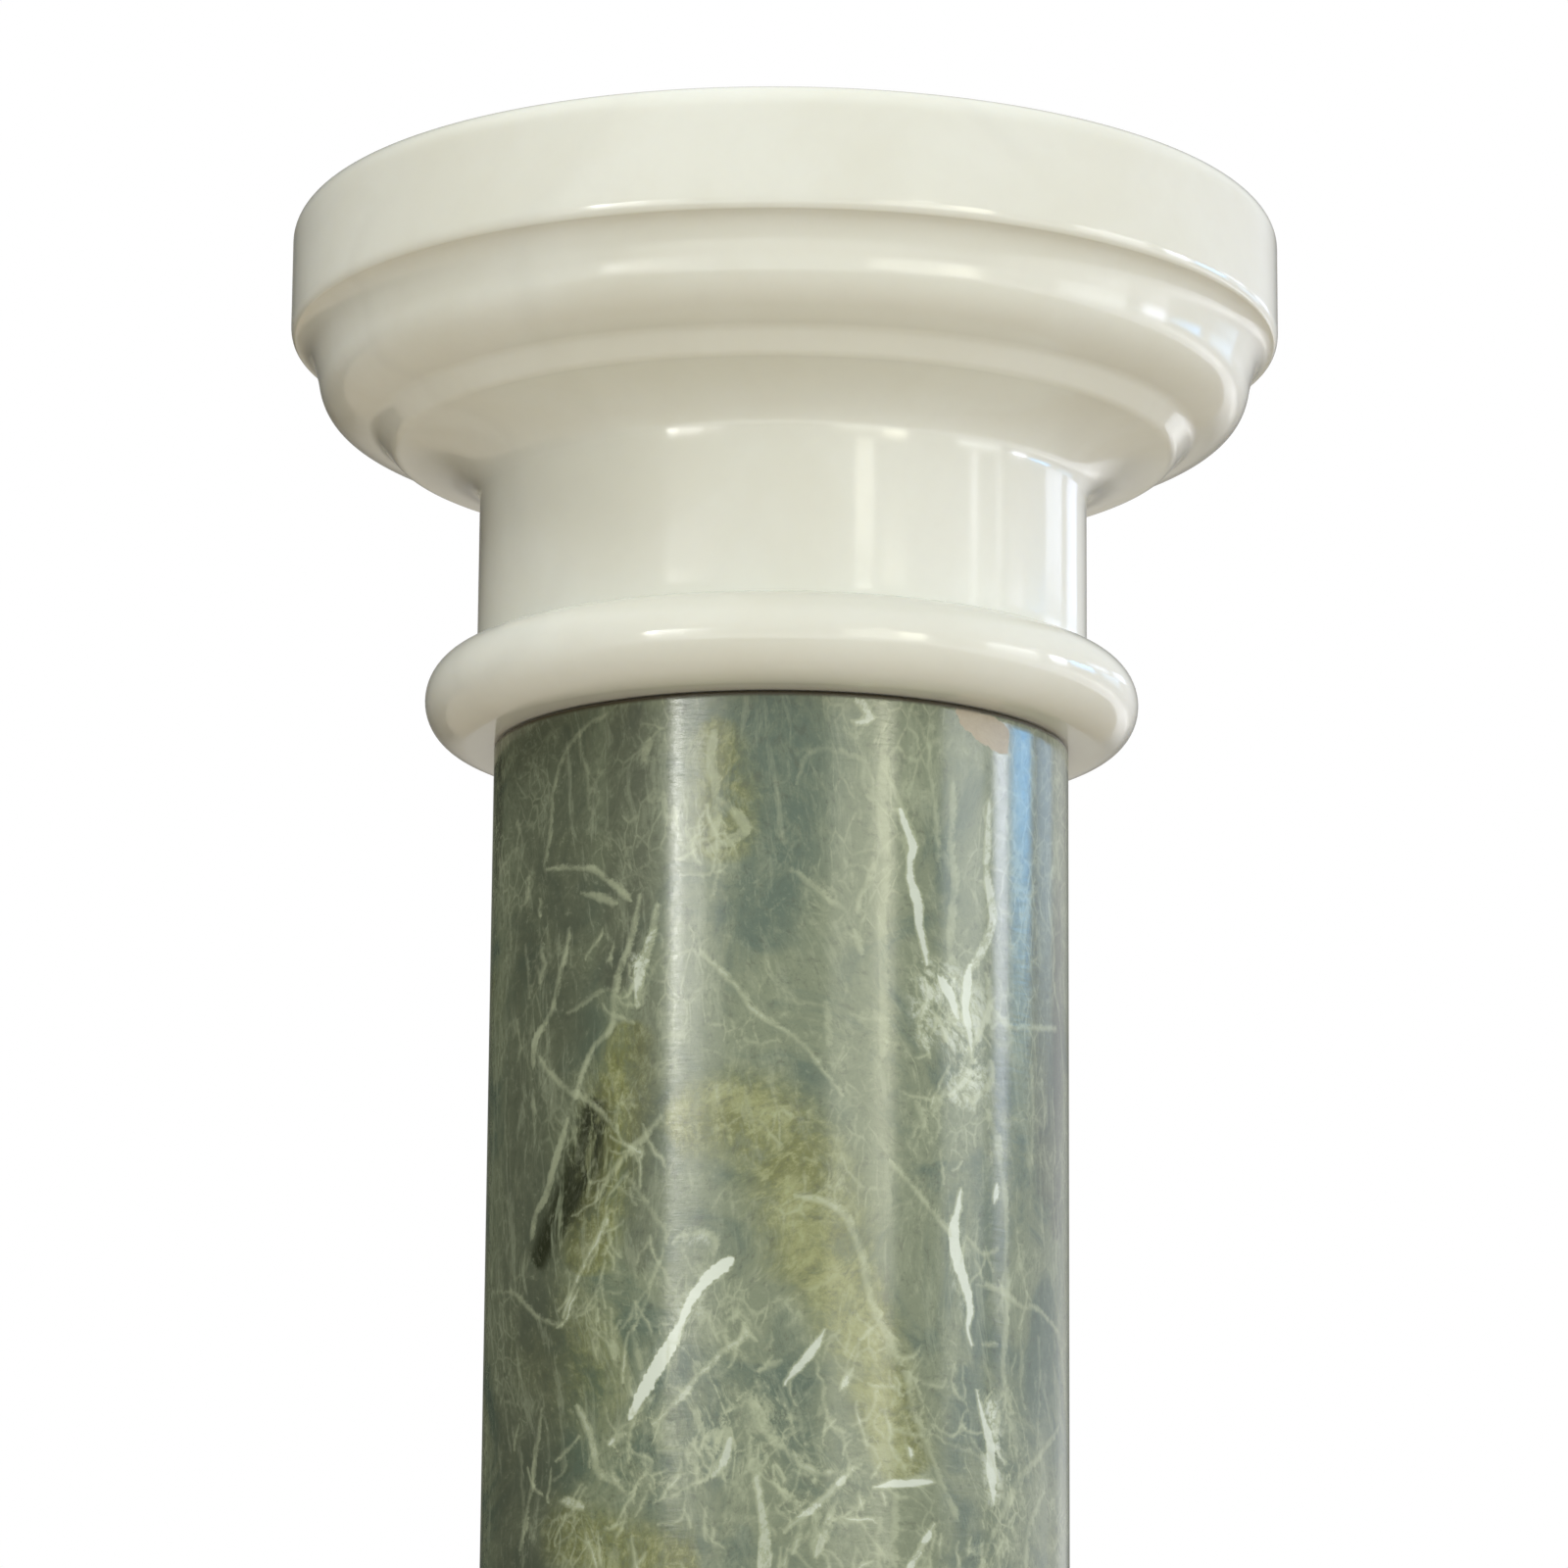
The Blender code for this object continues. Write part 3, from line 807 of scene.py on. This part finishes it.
class Nodes:
    """Short calls that add nodes to a tree and return an output."""

    def __init__(self, tree):
        self.tree = tree

    def feed(self, socket, value):
        """Link an output to a socket, or set the socket to a plain value."""
        if isinstance(value, bpy.types.NodeSocket):
            self.tree.links.new(value, socket)
        elif isinstance(value, tuple) and socket.type == "RGBA":
            socket.default_value = (*value, 1.0)
        else:
            socket.default_value = value

    def add(self, kind, settings=(), **inputs):
        node = self.tree.nodes.new(kind)
        for key, value in dict(settings).items():
            setattr(node, key, value)
        for key, value in inputs.items():
            self.feed(node.inputs[key.replace("_", " ")], value)
        return node

    def fill(self, node, *values):
        """Feed a node's first inputs in their order, and return its first output."""
        for socket, value in zip(node.inputs, values):
            self.feed(socket, value)
        return node.outputs[0]

    def math(self, operation, *values):
        return self.fill(self.add("ShaderNodeMath", {"operation": operation}), *values)

    def vector_math(self, operation, *values):
        return self.fill(self.add("ShaderNodeVectorMath", {"operation": operation}), *values)

    def split(self, vector):
        """The three parts of a vector."""
        return tuple(self.add("ShaderNodeSeparateXYZ", Vector=vector).outputs)

    def times(self, *values):
        """The product of several numbers."""
        product = values[0]
        for value in values[1:]:
            product = self.math("MULTIPLY", product, value)
        return product

    def bent(self, place, scale, reach, detail=2.0):
        """The place moved about by a noise, by up to about reach metres."""
        push = self.noise(place, scale, detail, output="Color")
        return self.vector_math("MULTIPLY_ADD", push, (2.0 * reach, 2.0 * reach, 2.0 * reach), place)

    def leaning(self, place, twist, squeeze):
        """The place turned about the upright axis by its height times twist, and squeezed in height.

        A noise there runs in long fibres that lean one way all round the column.
        """
        angle = self.math("MULTIPLY", self.split(place)[2], twist)
        node = self.add("ShaderNodeVectorRotate", {"rotation_type": "Z_AXIS"}, Vector=place, Angle=angle)
        return self.vector_math("MULTIPLY", node.outputs[0], (1.0, 1.0, squeeze))

    def mix(self, factor, first, second):
        node = self.add("ShaderNodeMix", {"data_type": "RGBA"})
        self.feed(node.inputs[0], factor)
        self.feed(node.inputs[6], first)
        self.feed(node.inputs[7], second)
        return node.outputs[2]

    def span(self, value, low, high, to_low=0.0, to_high=1.0):
        """Map a value smoothly from low and high to 0 and 1, or to another span, and hold it there."""
        node = self.add("ShaderNodeMapRange", {"interpolation_type": "SMOOTHSTEP"})
        return self.fill(node, value, low, high, to_low, to_high)

    def noise(self, vector, scale, detail=3.0, roughness=0.5, distortion=0.0, output="Fac"):
        node = self.add("ShaderNodeTexNoise", Vector=vector, Scale=scale, Detail=detail,
                        Roughness=roughness, Distortion=distortion)
        return node.outputs[output]

    def cracks(self, vector, scale, width):
        """Lines along the edges of a pattern of cells: 1 on them and 0 away from them."""
        node = self.add("ShaderNodeTexVoronoi", {"feature": "DISTANCE_TO_EDGE"}, Vector=vector, Scale=scale)
        return self.span(node.outputs["Distance"], width, 0.0)

    def stored(self, name):
        """The three numbers that the mesh holds at each point under a name."""
        return self.split(self.add("ShaderNodeAttribute", {"attribute_name": name}).outputs["Vector"])


def new_material(name):
    material = bpy.data.materials.new(name)
    material.use_nodes = True
    shader = material.node_tree.nodes["Principled BSDF"]
    shader.inputs["IOR"].default_value = 1.5
    return material, Nodes(material.node_tree), shader.inputs


def white_marble():
    """Polished white marble, faintly cream with hardly any veins."""
    material, nodes, inputs = new_material("white_marble")
    place = nodes.add("ShaderNodeTexCoord").outputs["Object"]
    clouds = nodes.noise(place, 9.0, 4.0, 0.55, 0.6)
    grain = nodes.noise(place, 140.0, 3.0, 0.6)
    cracks = nodes.cracks(nodes.bent(place, 5.0, 0.06), 5.5, 0.05)
    vein = nodes.times(cracks, nodes.span(clouds, 0.42, 0.62), 0.08)
    colour = nodes.mix(nodes.span(clouds, 0.3, 0.7), WHITE_CREAM, WHITE_LIGHT)
    colour = nodes.mix(nodes.span(grain, 0.35, 0.75, 0.0, 0.10), colour, WHITE_GRAIN)
    colour = nodes.mix(vein, colour, WHITE_VEIN)
    nodes.feed(inputs["Base Color"], colour)
    nodes.feed(inputs["Roughness"], nodes.span(grain, 0.2, 0.8, 0.08, 0.13))
    inputs["Subsurface Weight"].default_value = 0.12
    inputs["Subsurface Radius"].default_value = (1.0, 0.85, 0.6)
    inputs["Subsurface Scale"].default_value = 0.006
    waves = nodes.noise(place, 22.0, 2.0, 0.5)
    bump = nodes.add("ShaderNodeBump", Strength=0.04, Distance=0.004, Height=waves)
    nodes.feed(inputs["Normal"], bump.outputs["Normal"])
    return material


def vein_strength(nodes, layer, wobble, body):
    """How strongly a stored layer of veins shows. The faint ones are more ragged and broken."""
    signed, width, strength = nodes.stored(f"veins_{layer}")
    swell = nodes.span(body, 0.30, 0.70, 0.75, 1.60)
    ragged = nodes.times(wobble, nodes.math("SUBTRACT", 1.12, strength))
    off_middle = nodes.math("ABSOLUTE", nodes.math("ADD", signed, ragged))
    feather = nodes.span(nodes.math("SUBTRACT", nodes.times(width, swell), off_middle), -0.0012, 0.0010)
    broken = nodes.math("MAXIMUM", nodes.span(body, 0.38, 0.54, 0.55, 1.0), nodes.span(strength, 0.60, 0.90))
    return nodes.times(feather, strength, broken)


def streaks(nodes, place, lean, scale, squeeze, low, high):
    """Long thin flecks that rise to the right where lean is 0 and fall to the right where it is 1."""
    rising = nodes.noise(nodes.leaning(place, FIBRE_TWIST, squeeze), scale, 4.0, 0.6)
    falling = nodes.noise(nodes.leaning(place, -FIBRE_TWIST, squeeze), scale, 4.0, 0.6)
    return nodes.math("MAXIMUM",
                      nodes.times(nodes.span(rising, low, high), nodes.span(lean, 1.0, 0.0, 0.35, 1.0)),
                      nodes.times(nodes.span(falling, low, high), nodes.span(lean, 0.0, 1.0, 0.35, 1.0)))


def green_marble():
    """Polished green marble with deep, teal and olive patches, leaning fibres, and white and cream veins,
    with painted shade along its sides and under the joint and one painted reflection line.
    """
    material, nodes, inputs = new_material("green_marble")
    place = nodes.add("ShaderNodeTexCoord").outputs["Object"]
    dark_and_shade, deep_and_shade, teal = nodes.stored("dim_patches")
    olive, pale_olive, pale = nodes.stored("light_patches")
    chip, below_joint, cream = nodes.stored("chip_shade_cream")
    bent = nodes.bent(place, 7.0, 0.03, 3.0)
    crumpled = nodes.bent(bent, 38.0, 0.006, 3.0)

    broad = nodes.noise(bent, 6.5, 4.0, 0.55, 0.8)
    middle = nodes.noise(bent, 19.0, 6.0, 0.65, 1.0)
    fine = nodes.noise(crumpled, 85.0, 6.0, 0.72)
    mottle = nodes.noise(crumpled, 260.0, 4.0, 0.7)
    grain = nodes.noise(place, 620.0, 3.0, 0.7)
    lean = nodes.span(nodes.math("MULTIPLY_ADD", broad, 0.16, nodes.split(place)[0]), 0.060, 0.100)
    fibres = streaks(nodes, crumpled, lean, 110.0, 0.16, 0.51, 0.62)
    hairs = streaks(nodes, crumpled, lean, 260.0, 0.12, 0.53, 0.62)
    upright = nodes.noise(nodes.leaning(bent, 2.0, 0.14), 170.0, 4.0, 0.65)
    upright_place = nodes.leaning(crumpled, 0.0, 0.55)

    colour = nodes.mix(nodes.span(middle, 0.32, 0.52), GREEN_TEAL, GREEN_GREY)
    colour = nodes.mix(nodes.times(teal, nodes.span(fine, 0.70, 0.40, 0.50, 1.0)), colour, GREEN_TEAL)
    olive_share = nodes.math("MAXIMUM", olive, nodes.span(broad, 0.52, 0.70, 0.0, 0.8))
    olive_share = nodes.times(olive_share, nodes.span(fine, 0.34, 0.56, 0.40, 1.0))
    colour = nodes.mix(olive_share, colour, OLIVE)
    pale_share = nodes.times(pale_olive, nodes.span(fine, 0.38, 0.62, 0.20, 1.0))
    colour = nodes.mix(pale_share, colour, OLIVE_PALE)
    gold = nodes.times(nodes.math("MAXIMUM", olive_share, pale_share), nodes.span(mottle, 0.46, 0.64), 0.75)
    colour = nodes.mix(gold, colour, OLIVE_PALE)
    # Deeper-coloured stone, and painted shade where the deep patches lie along the shaft's sides
    colour = nodes.mix(nodes.times(deep_and_shade, nodes.span(middle, 0.75, 0.35, 0.65, 0.90)), colour, GREEN_DEEP)
    # Dark streaks, and painted shade at the shaft's left edge
    dark_and_shade_share = nodes.times(dark_and_shade, nodes.span(fine, 0.70, 0.46, 0.45, 1.0), nodes.span(upright, 0.66, 0.50))
    colour = nodes.mix(dark_and_shade_share, colour, GREEN_DARK)

    crowd = nodes.math("MAXIMUM", pale, nodes.span(middle, 0.42, 0.66, 0.10, 0.55))
    crowd = nodes.times(crowd, nodes.span(deep_and_shade, 0.0, 1.0, 1.0, 0.45), nodes.span(teal, 0.2, 1.0, 1.0, 0.35))
    colour = nodes.mix(nodes.times(nodes.span(fine, 0.50, 0.32), pale, 0.45), colour, GREEN_TEAL)
    colour = nodes.mix(nodes.times(nodes.span(fine, 0.48, 0.72), crowd, 0.55), colour, GREEN_PALE)
    colour = nodes.mix(nodes.times(fibres, nodes.span(fine, 0.40, 0.58), crowd, 0.35), colour, VEIN_CREAM)
    colour = nodes.mix(nodes.times(hairs, nodes.span(mottle, 0.38, 0.56), crowd, 0.40), colour, VEIN_CREAM)
    coarse_net = nodes.times(nodes.cracks(upright_place, 62.0, 0.050), nodes.span(fine, 0.44, 0.56))
    fine_net = nodes.times(nodes.cracks(upright_place, 140.0, 0.085), nodes.span(middle, 0.46, 0.60))
    net = nodes.times(nodes.math("MAXIMUM", coarse_net, fine_net), crowd, 0.75)
    colour = nodes.mix(net, colour, VEIN_CREAM)
    colour = nodes.mix(nodes.span(upright, 0.52, 0.68, 0.0, 0.30), colour, GREEN_PALE)
    colour = nodes.mix(nodes.span(mottle, 0.47, 0.30, 0.0, 0.40), colour, GREEN_DEEP)
    colour = nodes.mix(nodes.span(mottle, 0.55, 0.75, 0.0, 0.25), colour, GREEN_PALE)
    colour = nodes.mix(nodes.span(grain, 0.48, 0.28, 0.0, 0.20), colour, GREEN_DEEP)
    misty = nodes.times(cream, nodes.span(fine, 0.40, 0.58), nodes.span(mottle, 0.36, 0.54, 0.45, 1.0))
    colour = nodes.mix(misty, colour, nodes.mix(nodes.span(mottle, 0.42, 0.62), VEIN_CREAM, VEIN_WHITE))

    coarse_edge = nodes.math("MULTIPLY_ADD", fine, 0.0050, -0.0025)
    wobble = nodes.math("MULTIPLY_ADD", nodes.math("SUBTRACT", mottle, 0.5), 0.0055, coarse_edge)
    for layer in range(VEIN_LAYERS):
        strength = vein_strength(nodes, layer, wobble, fine)
        tint = nodes.mix(nodes.span(strength, 0.50, 0.80), VEIN_CREAM, VEIN_WHITE)
        colour = nodes.mix(strength, colour, tint)

    filled = nodes.span(nodes.math("MULTIPLY_ADD", wobble, 0.5, chip), -0.0003, 0.0003)
    colour = nodes.mix(filled, colour, nodes.mix(nodes.span(mottle, 0.3, 0.7), CHIP_BEIGE, CHIP_GRAIN))
    # Painted shade: a dark brown band in the top 3 mm of the shaft, where the ring shades it
    colour = nodes.mix(nodes.span(below_joint, 0.0028, 0.0012), colour, JOINT_SHADE)
    nodes.feed(inputs["Base Color"], colour)
    shine = nodes.span(grain, 0.25, 0.75, 0.12, 0.20)
    nodes.feed(inputs["Roughness"], nodes.math("MULTIPLY_ADD", filled, 0.25, shine))
    ripples = nodes.noise(nodes.leaning(place, 0.0, 6.0), 95.0, 3.0, 0.6)
    bump = nodes.add("ShaderNodeBump", Strength=0.05, Distance=0.001, Height=ripples)
    nodes.feed(inputs["Normal"], bump.outputs["Normal"])
    return material


def make_world():
    """Soft light, most of it from the front and right, and plain white behind the column."""
    world = bpy.data.worlds.new("studio")
    world.use_nodes = True
    bpy.context.scene.world = world
    nodes = Nodes(world.node_tree)
    right, back, up = nodes.split(nodes.add("ShaderNodeTexCoord").outputs["Generated"])
    turn = nodes.math("ARCTAN2", right, nodes.math("MULTIPLY", back, -1.0))
    ramp = nodes.add("ShaderNodeValToRGB", Fac=nodes.math("MULTIPLY_ADD", turn, 1.0 / math.tau, 0.5))
    stops = ramp.color_ramp.elements
    while len(stops) < len(SKY_ROUND):
        stops.new(1.0)
    for stop, (degrees, colour) in zip(stops, SKY_ROUND.items()):
        stop.position = (degrees + 180) / 360
        stop.color = (*colour, 1.0)
    overhead = nodes.span(up, 0.52, 0.95)
    glow = nodes.mix(overhead, ramp.outputs["Color"], SKY_OVERHEAD)
    strength = nodes.span(up, 0.0, -0.08, 1.0, SKY_LOW)
    shining = nodes.add("ShaderNodeBackground", Color=glow, Strength=strength)
    behind = world.node_tree.nodes["Background"]
    behind.inputs["Color"].default_value = (1.0, 1.0, 1.0, 1.0)
    to_camera = nodes.add("ShaderNodeLightPath").outputs["Is Camera Ray"]
    both = nodes.fill(nodes.add("ShaderNodeMixShader"), to_camera, shining.outputs[0], behind.outputs[0])
    nodes.feed(world.node_tree.nodes["World Output"].inputs["Surface"], both)


def area_light(name, degrees, height, width, power):
    """A light that the camera doesn't see, degrees round the column and turned to face its axis."""
    turn = math.radians(degrees)
    light = add_object(name, bpy.data.lights.new(name, "AREA"))
    light.location = (LIGHT_DISTANCE * math.sin(turn), -LIGHT_DISTANCE * math.cos(turn), height)
    light.rotation_euler = (math.radians(90.0), 0.0, turn)
    light.visible_camera = False
    light.data.size = width
    light.data.energy = power
    return light


def make_tall_lights():
    """Each tall light is cut into slices, so that its brightness can change on the way up."""
    for name, (degrees, low, high, width, dim, bright, colour) in TALL_LIGHTS.items():
        tall = (high - low) / LIGHT_SLICES
        for number in range(LIGHT_SLICES):
            brightness = dim + (bright - dim) * number / (LIGHT_SLICES - 1)
            light = area_light(f"{name}_{number}", degrees, low + tall * (number + 0.5), width,
                               brightness * math.pi * width * tall)
            light.data.shape = "RECTANGLE"
            light.data.size_y = tall
            light.data.color = colour
            light.visible_diffuse = False


def make_top_light():
    light = area_light("top_light", TOP_LIGHT_TURN, TOP_LIGHT_HEIGHT, TOP_LIGHT_WIDTH, TOP_LIGHT_POWER)
    aim = Vector((0.0, 0.0, COLUMN_HEIGHT)) - light.location
    light.rotation_euler = aim.to_track_quat("-Z", "Y").to_euler()
    light.visible_glossy = False


def make_floor():
    mesh = bpy.data.meshes.new("floor")
    signs = ((-1, -1), (1, -1), (1, 1), (-1, 1))
    corners = [(right * FLOOR_REACH, back * FLOOR_REACH, 0.0) for right, back in signs]
    mesh.from_pydata(corners, [], [(0, 1, 2, 3)])
    floor = add_object("floor", mesh)
    material, nodes, inputs = new_material("floor")
    place = nodes.add("ShaderNodeTexCoord").outputs["Object"]
    nodes.feed(inputs["Base Color"], nodes.mix(nodes.noise(place, 3.0, 4.0), FLOOR_WARM, FLOOR_PALE))
    inputs["Roughness"].default_value = 0.7
    mesh.materials.append(material)


def dress(node, piece, material):
    """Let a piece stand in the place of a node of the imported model."""
    piece.data.materials.append(material)
    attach(piece, "root")
    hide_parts(node)


white = white_marble()
green = green_marble()
white_angles = np.arange(WHITE_SIDES) * math.tau / WHITE_SIDES
capital = turned("capital_finish", capital_outline(), white_angles)
shaft = turned("shaft_finish", shaft_outline(), shaft_angles())
base = turned("base_finish", base_outline(), white_angles)
mark_shaft(shaft)
dress("capital", capital, white)
dress("shaft", shaft, green)
dress("base", base, white)

make_floor()
make_world()
make_tall_lights()
make_top_light()
make_camera()
bpy.context.scene.view_settings.view_transform = "Standard"
